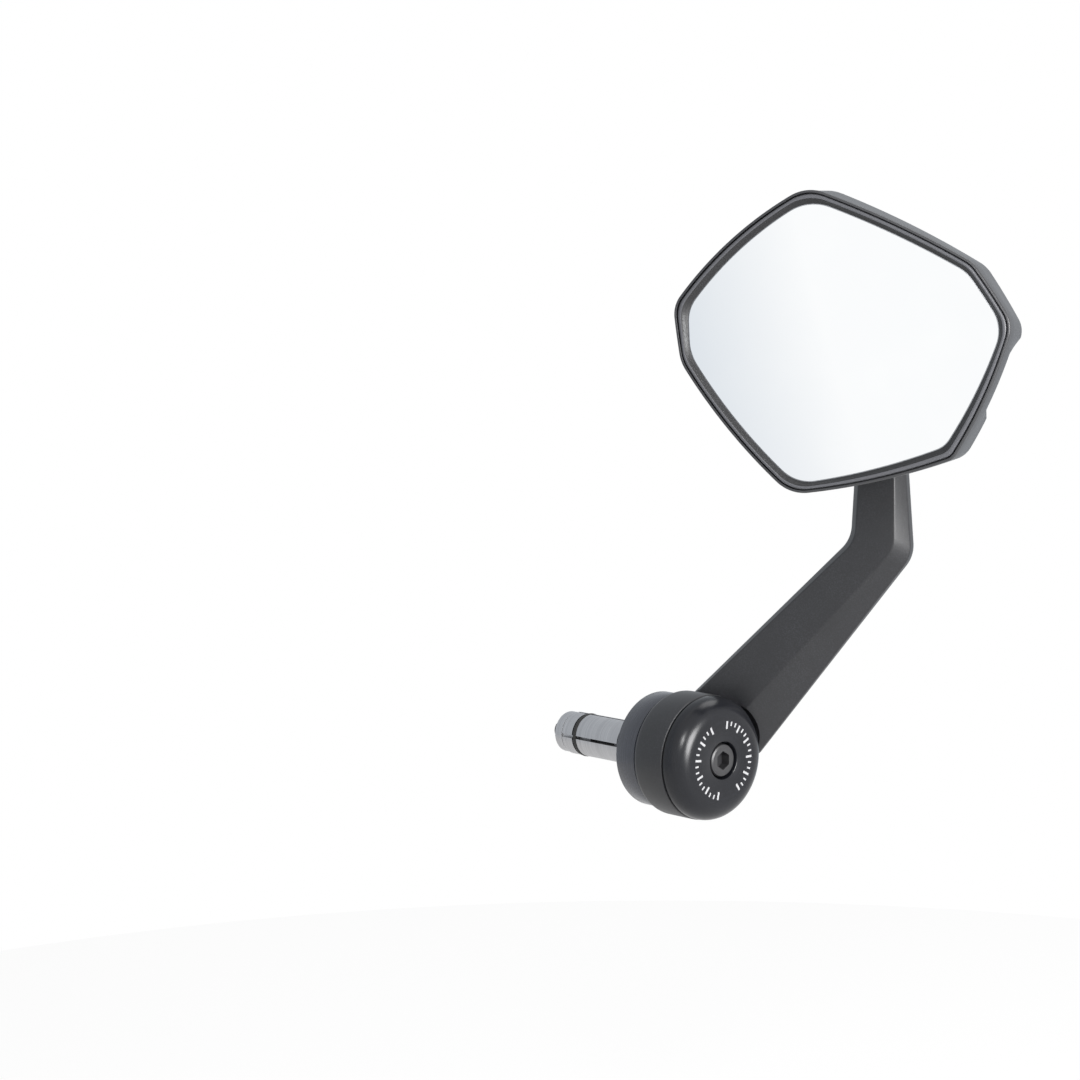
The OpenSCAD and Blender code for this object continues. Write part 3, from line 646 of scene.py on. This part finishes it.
class MIRROR_OT_arm(bpy.types.Operator):
    """Coated arm with its hub, bevelled edges and rounded elbow"""

    bl_idname = "bar_end_mirror.arm"
    bl_label = "Build Arm"

    elbow_radius: FloatProperty(
        name="Elbow Radius", description="Radius of the elbow edges", default=10.0 * MM, min=6.0 * MM, max=13.0 * MM,
        unit="LENGTH", subtype="DISTANCE",
    )

    def execute(self, context):
        base = tuple(settings().coat_colour)
        pale = tuple(c * 2.6 for c in base)
        finish = coat("Arm Coat", 2600.0, base, pale, 0.42, 0.1, 0.3, Specular_IOR_Level=0.58)
        body = self.solid("arm_loft", self.loft())
        hub = bmesh.new()
        profile = [(HUB_START, BUSH_RADIUS)]
        profile += arc_profile(HUB_START + 2.5, HUB_RADIUS - 2.5, 2.5, 180, 90, 12)
        profile += [(HUB_END - BREAK, HUB_RADIUS), (HUB_END - BREAK_MIDDLE, HUB_RADIUS - BREAK_MIDDLE)]
        profile += [(HUB_END, HUB_RADIUS - BREAK)]
        profile += [(HUB_END, BUSH_RADIUS)]
        lathe(hub, profile, 192)
        hub_solid = self.solid("arm_hub", hub)
        boss_solid = self.solid("arm_boss", self.boss())
        cutters = [
            self.rod("bore_cut", (HUB_START - 2, HUB_END + 2), BUSH_RADIUS),
            self.rod("spacer_cut", (-20, HUB_START), SPACER_RADIUS + 0.6),
            self.rod("cap_cut", (HUB_END, 60), CAP_RADIUS + 0.6),
            self.stud_rod("screw_cut", (6.0, 20.0), STUD_COUNTERBORE),
            self.stud_rod("stud_cut", (-1.0, 4.0), STUD_SPIGOT),
        ]
        for other in (hub_solid, boss_solid):
            self.combine(body, other, "UNION")
        for cutter in cutters:
            self.combine(body, cutter, "DIFFERENCE")
        bpy.context.view_layer.update()
        shaped = bpy.data.meshes.new_from_object(body.evaluated_get(bpy.context.evaluated_depsgraph_get()))
        bm = bmesh.new()
        bm.from_mesh(shaped)
        for piece in [body, hub_solid, boss_solid, *cutters]:
            bpy.data.objects.remove(piece)
        bpy.data.meshes.remove(shaped)
        new_object("cranked_arm", bm, finish, "arm", ("mirror_arm",), 24.0)
        return {"FINISHED"}

    def edge_point(self, edge, i, run, elbow):
        p0, p1, p2 = (Vector(p) for p in edge)
        radius = self.elbow_radius / MM
        down = (p0 - p1).normalized()
        up = (p2 - p1).normalized()
        half = math.acos(down.dot(up)) / 2
        reach = radius / math.tan(half)
        centre = p1 + (down + up).normalized() * radius / math.sin(half)
        if i < run:
            return p0.lerp(p1 + down * reach, i / run)
        if i > run + elbow:
            return (p1 + up * reach).lerp(p2, (i - run - elbow) / run)
        a = p1 + down * reach - centre
        b = p1 + up * reach - centre
        a0 = math.atan2(a.y, a.x)
        sweep = math.remainder(math.atan2(b.y, b.x) - a0, 2 * math.pi)
        angle = a0 + sweep * (i - run) / elbow
        return centre + Vector((math.cos(angle), math.sin(angle))) * radius

    def section(self, lo, lc, rc, ro, bevel, left, thick):
        corners = [(lc[0], 0, lc[1]), (rc[0], 0, rc[1]), (ro[0], bevel, ro[1]),
                   (ro[0], thick, ro[1]), (lo[0], thick, lo[1]), (lo[0], left, lo[1])]
        radii = (0.5, 0.5, 0.5, 1.7, 1.7, 0.5)
        corners = [Vector(c) for c in corners]
        points = []
        for i, p in enumerate(corners):
            before = (corners[i - 1] - p).normalized()
            after = (corners[(i + 1) % 6] - p).normalized()
            a, b = p + before * radii[i], p + after * radii[i]
            for k in range(6):
                t = k / 5
                points.append(a.lerp(p, t).lerp(p.lerp(b, t), t))
        return points

    def loft(self):
        run, elbow = 10, 28
        count = 2 * run + elbow
        rings = [self.section(ROOT_LEFT, Vector(ROOT_LEFT).lerp(Vector(ROOT_RIGHT), 0.2),
                              Vector(ROOT_LEFT).lerp(Vector(ROOT_RIGHT), 0.8), ROOT_RIGHT, 2, 1, 6)]
        for i in range(count + 1):
            edges = [self.edge_point(e, i, run, elbow) for e in (LEFT_OUTER, LEFT_CREASE, RIGHT_CREASE, RIGHT_OUTER)]
            t = clamp01(i / run)
            rings.append(self.section(*edges, mix(6.0, 4.3, t), 3.0, ARM_THICKNESS))
        rings = [[arm_point(*p) for p in ring] for ring in rings]
        bm = bmesh.new()
        middle = [sum(ring, Vector()) / len(ring) for ring in (rings[0], rings[-1])]
        add_rings(bm, rings, middle[0], middle[1])
        return bm

    def stud_place(self, depth, radius, angle):
        return arm_point(STUD_S + radius * math.cos(angle), depth, STUD_HEIGHT + radius * math.sin(angle))

    def stud_rings(self, profile, steps=96):
        bm = bmesh.new()
        rings = [[self.stud_place(d, r, 2 * math.pi * i / steps) for i in range(steps)] for d, r in profile]
        ends = [self.stud_place(d, 0.0, 0.0) for d in (profile[0][0], profile[-1][0])]
        add_rings(bm, rings, ends[0], ends[1])
        return bm

    def boss(self):
        r, thick = BOSS_RADIUS, ARM_THICKNESS
        profile = [(0.0, r - BREAK), (BREAK_MIDDLE, r - BREAK_MIDDLE), (BREAK, r)]
        profile += [(thick - BREAK, r), (thick - BREAK_MIDDLE, r - BREAK_MIDDLE), (thick, r - BREAK)]
        return self.stud_rings(profile)

    def stud_rod(self, name, depths, radius):
        return self.solid(name, self.stud_rings([(depths[0], radius), (depths[1], radius)]))

    def rod(self, name, span, radius):
        bm = bmesh.new()
        rings = []
        for x in span:
            rings.append([Vector((x, radius * math.cos(2 * math.pi * i / 192),
                                  radius * math.sin(2 * math.pi * i / 192))) * MM for i in range(192)])
        add_rings(bm, rings, Vector((span[0] * MM, 0, 0)), Vector((span[1] * MM, 0, 0)))
        return self.solid(name, bm)

    def solid(self, name, bm):
        bmesh.ops.recalc_face_normals(bm, faces=bm.faces)
        mesh = bpy.data.meshes.new(name)
        bm.to_mesh(mesh)
        bm.free()
        obj = bpy.data.objects.new(name, mesh)
        bpy.context.scene.collection.objects.link(obj)
        return obj

    def combine(self, body, other, operation):
        step = body.modifiers.new(other.name, "BOOLEAN")
        step.operation = operation
        step.solver = "EXACT"
        step.object = other


class MIRROR_OT_housing(bpy.types.Operator):
    """Moulded rear shell with the hollow in its outboard side"""

    bl_idname = "bar_end_mirror.housing"
    bl_label = "Build Housing"

    def execute(self, context):
        base = tuple(settings().plastic_colour)
        pale = tuple(c * 1.25 for c in base)
        finish = coat("Housing Plastic", 2900.0, base, pale, 0.4, 0.08, 0.1, Specular_IOR_Level=0.6)
        middle = (BALL_UV[0], BALL_UV[1] / 2)
        outer_back = wall_ring(BACK_INSET, WALL_DEPTH)
        inner_back = wall_ring(SHELL_WALL + 1, WALL_DEPTH)
        outer = WALL_DEPTH + BACK_RISE
        inner = outer - SHELL_WALL
        rings = []
        for t in (0.8, 0.6, 0.4, 0.2):
            rings.append(shrink(outer_back, middle, t, outer + BACK_CROWN * (1 - (1 - t) ** 2)))
        for i in range(12):
            a = math.radians(mix(90, 0, i / 12))
            rings.append(wall_ring(BACK_INSET * (1 - math.cos(a)), WALL_DEPTH + BACK_RISE * math.sin(a)))
        for i in range(19):
            rings.append(wall_ring(0.0, mix(WALL_DEPTH, RIM_STRAIGHT, i / 18)))
        for i in range(7):
            a = math.radians(mix(0, 90, i / 6))
            rings.append(wall_ring(LIP_ROUND * (1 - math.cos(a)), LIP_ROUND * (1 - math.sin(a))))
        rings += [wall_ring(LIP_WIDTH - 0.05, 0.0), wall_ring(LIP_WIDTH, 0.06)]
        rings += [wall_ring(LIP_WIDTH, REBATE_DEPTH), wall_ring(SHELL_WALL, REBATE_DEPTH)]
        rings += [wall_ring(SHELL_WALL, RIM_STRAIGHT), wall_ring(SHELL_WALL, SHELL_STEP)]
        rings += [wall_ring(SHELL_WALL + 1, inner)]
        rings += [shrink(inner_back, middle, 0.5, inner + BACK_CROWN * 0.75)]
        bm = bmesh.new()
        first = head_point(middle[0], middle[1], outer + BACK_CROWN)
        last = head_point(middle[0], middle[1], inner + BACK_CROWN)
        add_rings(bm, [in_head(r) for r in rings], first, last)
        new_object("moulded_housing", bm, finish, "head", ("mirror_housing",), 30.0)
        dress("socket_cup", finish)
        return {"FINISHED"}


class MIRROR_OT_bezel(bpy.types.Operator):
    """Narrow front rim that holds the glass"""

    bl_idname = "bar_end_mirror.bezel"
    bl_label = "Build Bezel"

    def execute(self, context):
        # Painted sheen: the bezel takes the housing's plastic colour 2.8 times lighter, so that its bead looks lit
        base = tuple(c * 2.8 for c in settings().plastic_colour)
        pale = tuple(c * 1.25 for c in base)
        finish = coat("Bezel Plastic Painted Sheen", 3200.0, base, pale, 0.38, 0.05, 0.03, Specular_IOR_Level=0.6)
        start = LIP_WIDTH + BEZEL_GAP
        middle = (start + BEZEL_LAND) / 2
        half = (BEZEL_LAND - start) / 2
        rings = [wall_ring(start, REBATE_DEPTH), wall_ring(start, BEAD_HEIGHT + 0.2)]
        for i in range(15):
            a = math.radians(mix(180, 0, i / 14))
            rings.append(wall_ring(middle + half * math.cos(a), BEAD_HEIGHT * (1 - math.sin(a))))
        rings += [glass_ring(BEZEL_INNER - 0.08, -0.22), glass_ring(BEZEL_INNER, -0.15), glass_ring(BEZEL_INNER, -0.1)]
        rings += [glass_ring(SKIRT_INSET, -0.1), wall_ring(SKIRT_INSET, BEZEL_SKIRT)]
        rings += [wall_ring(SKIRT_OUTER, BEZEL_SKIRT), wall_ring(SKIRT_OUTER, REBATE_DEPTH)]
        bm = bmesh.new()
        add_rings(bm, [in_head(r) for r in rings], loop=True)
        # Painted shade: the inner half of the bead and the slope down to the glass get a near-black finish for the
        # shadowed gap at the glass
        bm.faces.ensure_lookup_table()
        count = len(bm.faces) // len(rings)
        for face in bm.faces[count * 11:count * 18]:
            face.material_index = 1
        obj = new_object("front_bezel", bm, finish, "head", ("bezel",), 30.0)
        painted_shade_finish = coat("Bezel Slope Painted Shade", 3200.0, (0.008, 0.008, 0.009), (0.011, 0.011, 0.013), 0.5, 0.05, 0.0)
        obj.data.materials.append(painted_shade_finish)
        return {"FINISHED"}


class MIRROR_OT_glass(bpy.types.Operator):
    """Convex silvered glass with a ground edge, its pad and its carrier"""

    bl_idname = "bar_end_mirror.glass"
    bl_label = "Build Glass"

    def execute(self, context):
        silver = coat("Silvered Glass", 60.0, (0.96, 0.972, 0.98), (0.975, 0.985, 0.99), 0.012, 0.006, 0.0, 1.0)
        ground = coat("Ground Edge", 2600.0, (0.3, 0.31, 0.33), (0.4, 0.41, 0.43), 0.3, 0.1, 0.1, 0.6)
        rim = [(p[0], p[1]) for p in outline(RIM_CORNERS, RIM_RADII, GLASS_INSET)]
        shown = [(p[0], p[1]) for p in outline(RIM_CORNERS, RIM_RADII, BEZEL_INNER + GROUND_WIDTH)]
        bm = bmesh.new()
        rows = [[(u * t, v * t, glass_depth(u * t, v * t)) for u, v in shown] for t in [i / 24 for i in range(1, 25)]]
        add_rings(bm, [in_head(r) for r in rows], head_point(0, 0, GLASS_FRONT))
        margin = [(u, v, glass_depth(u, v)) for u, v in shown]
        edge = [(u, v, glass_depth(u, v, 0.06)) for u, v in rim]
        back = [(u, v, glass_depth(u, v, GLASS_THICKNESS)) for u, v in rim]
        silvered = len(bm.faces)
        add_rings(bm, [in_head(r) for r in (margin, edge, back)], None, head_point(0, 0, GLASS_FRONT + GLASS_THICKNESS))
        bm.faces.ensure_lookup_table()
        for face in bm.faces[silvered:]:
            face.material_index = 1
        obj = new_object("convex_glass", bm, silver, "head", ("mirror_glass",), 3.0)
        obj.data.materials.append(ground)
        plain = coat("Carrier Plastic", 1600.0, (0.03, 0.03, 0.03), (0.05, 0.05, 0.05), 0.5, 0.1, 0.3)
        foam = coat("Pad Foam", 700.0, (0.03, 0.03, 0.03), (0.06, 0.06, 0.06), 0.85, 0.1, 0.8)
        dress("glass_carrier", plain)
        dress("adhesive_pad", foam)
        return {"FINISHED"}


class MIRROR_OT_stage(bpy.types.Operator):
    """Pale floor, soft lamps and the camera"""

    bl_idname = "bar_end_mirror.stage"
    bl_label = "Build Stage"

    def execute(self, context):
        scene = bpy.context.scene
        scene.view_settings.view_transform = "Standard"
        self.add_floor()
        self.add_sky(scene)
        self.add_lamp("Side Lamp", (1.0, 0.0, 0.2), (0.05, 0.0, 0.06), 0.5, 13.0)
        self.add_lamp("Front Lamp", (0.7, -0.62, 0.5), (0.03, 0.0, 0.04), 0.22, 3.4)
        self.add_lamp("Top Lamp", (0.1, 0.5, 0.9), (0.05, 0.02, 0.08), 0.6, 2.0)
        self.add_camera(scene)
        return {"FINISHED"}

    def add_floor(self):
        own = settings()
        bm = bmesh.new()
        bmesh.ops.create_circle(bm, cap_ends=True, segments=96, radius=0.6)
        bmesh.ops.translate(bm, verts=bm.verts, vec=(0.05, 0.0, own.floor_height))
        mesh = bpy.data.meshes.new("studio_floor")
        bm.to_mesh(mesh)
        bm.free()
        floor = bpy.data.objects.new("studio_floor", mesh)
        bpy.context.scene.collection.objects.link(floor)
        paint = bpy.data.materials.new("Floor Paint")
        paint.use_nodes = True
        tree = paint.node_tree
        shader = tree.nodes["Principled BSDF"]
        shader.inputs["Base Color"].default_value = (0.93, 0.93, 0.93, 1)
        shader.inputs["Roughness"].default_value = 0.9
        shader.inputs["Specular IOR Level"].default_value = 0.0
        glow = tree.nodes.new("ShaderNodeEmission")
        glow.inputs["Color"].default_value = (1, 1, 1, 1)
        path = tree.nodes.new("ShaderNodeLightPath")
        share = math_node(tree, "MULTIPLY", seen_directly(tree, path), FLOOR_GLOW)
        blend = tree.nodes.new("ShaderNodeMixShader")
        tree.links.new(share, blend.inputs[0])
        tree.links.new(shader.outputs[0], blend.inputs[1])
        tree.links.new(glow.outputs[0], blend.inputs[2])
        tree.links.new(blend.outputs[0], tree.nodes["Material Output"].inputs["Surface"])
        mesh.materials.append(paint)

    def add_sky(self, scene):
        world = bpy.data.worlds.new("Plain Sky")
        world.use_nodes = True
        scene.world = world
        tree = world.node_tree
        sky = tree.nodes["Background"]
        sky.inputs["Color"].default_value = (1, 1, 1, 1)
        sky.inputs["Strength"].default_value = settings().sky_level
        shown = tree.nodes.new("ShaderNodeBackground")
        direction = tree.nodes.new("ShaderNodeTexCoord").outputs["Generated"]
        split = tree.nodes.new("ShaderNodeSeparateXYZ")
        tree.links.new(direction, split.inputs[0])
        slant = math_node(tree, "MULTIPLY", split.outputs["Z"], 0.3)
        across = math_node(tree, "ADD", split.outputs["X"], slant)
        shade = remap(tree, across, -0.02, 0.12, 0.0, 1.0)
        tint = mix_colour(tree, shade, (0.74, 0.78, 0.825, 1), (1, 1, 1, 1))
        path = tree.nodes.new("ShaderNodeLightPath")
        plain = mix_colour(tree, path.outputs["Is Camera Ray"], tint, (1, 1, 1, 1))
        tree.links.new(plain, shown.inputs["Color"])
        seen = seen_directly(tree, path)
        blend = tree.nodes.new("ShaderNodeMixShader")
        tree.links.new(seen, blend.inputs[0])
        tree.links.new(sky.outputs[0], blend.inputs[1])
        tree.links.new(shown.outputs[0], blend.inputs[2])
        tree.links.new(blend.outputs[0], tree.nodes["World Output"].inputs["Surface"])

    def add_lamp(self, name, place, target, size, power):
        lamp = bpy.data.lights.new(name, "AREA")
        lamp.shape = "DISK"
        lamp.size = size
        lamp.energy = power
        obj = bpy.data.objects.new(name, lamp)
        obj.location = place
        obj.rotation_euler = (Vector(target) - Vector(place)).to_track_quat("-Z", "Y").to_euler()
        bpy.context.scene.collection.objects.link(obj)

    def add_camera(self, scene):
        lens = bpy.data.cameras.new("Photo Camera")
        lens.lens = 81.667
        lens.sensor_width = 36.0
        lens.clip_start = 0.01
        camera = bpy.data.objects.new("Photo Camera", lens)
        scene.collection.objects.link(camera)
        right = Vector((0.65711107, 0.75379376, 0.0))
        up = Vector((-0.06962508, 0.06069487, 0.9957251))
        back = Vector((0.75057137, -0.65430199, 0.09236622))
        turn = Matrix((right, up, back)).transposed().to_4x4()
        camera.matrix_world = Matrix.Translation((0.5429756, -0.5218101, 0.1346658)) @ turn
        scene.camera = camera


OPERATORS = (
    MIRROR_OT_bar_end,
    MIRROR_OT_screws,
    MIRROR_OT_insert,
    MIRROR_OT_arm,
    MIRROR_OT_housing,
    MIRROR_OT_bezel,
    MIRROR_OT_glass,
    MIRROR_OT_stage,
)


class MIRROR_PT_panel(bpy.types.Panel):
    """List of the building steps"""

    bl_idname = "MIRROR_PT_panel"
    bl_label = "Bar End Mirror"
    bl_space_type = "VIEW_3D"
    bl_region_type = "UI"
    bl_category = "Bar End Mirror"

    def draw(self, context):
        own = context.scene.bar_end_mirror
        for label in ("anodised_colour", "coat_colour", "plastic_colour", "mark_inner", "mark_outer", "mark_count",
                      "floor_height", "sky_level"):
            self.layout.prop(own, label)
        for step in OPERATORS:
            self.layout.operator(step.bl_idname)


CLASSES = (BarEndMirrorSettings, *OPERATORS, MIRROR_PT_panel)


def register():
    for cls in CLASSES:
        bpy.utils.register_class(cls)
    bpy.types.Scene.bar_end_mirror = PointerProperty(type=BarEndMirrorSettings)


def unregister():
    del bpy.types.Scene.bar_end_mirror
    for cls in reversed(CLASSES):
        bpy.utils.unregister_class(cls)


def main():
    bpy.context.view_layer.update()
    register()
    bpy.ops.bar_end_mirror.bar_end()
    bpy.ops.bar_end_mirror.screws()
    bpy.ops.bar_end_mirror.insert()
    bpy.ops.bar_end_mirror.arm()
    bpy.ops.bar_end_mirror.housing()
    bpy.ops.bar_end_mirror.bezel()
    bpy.ops.bar_end_mirror.glass()
    bpy.ops.bar_end_mirror.stage()


if __name__ == "__main__":
    main()
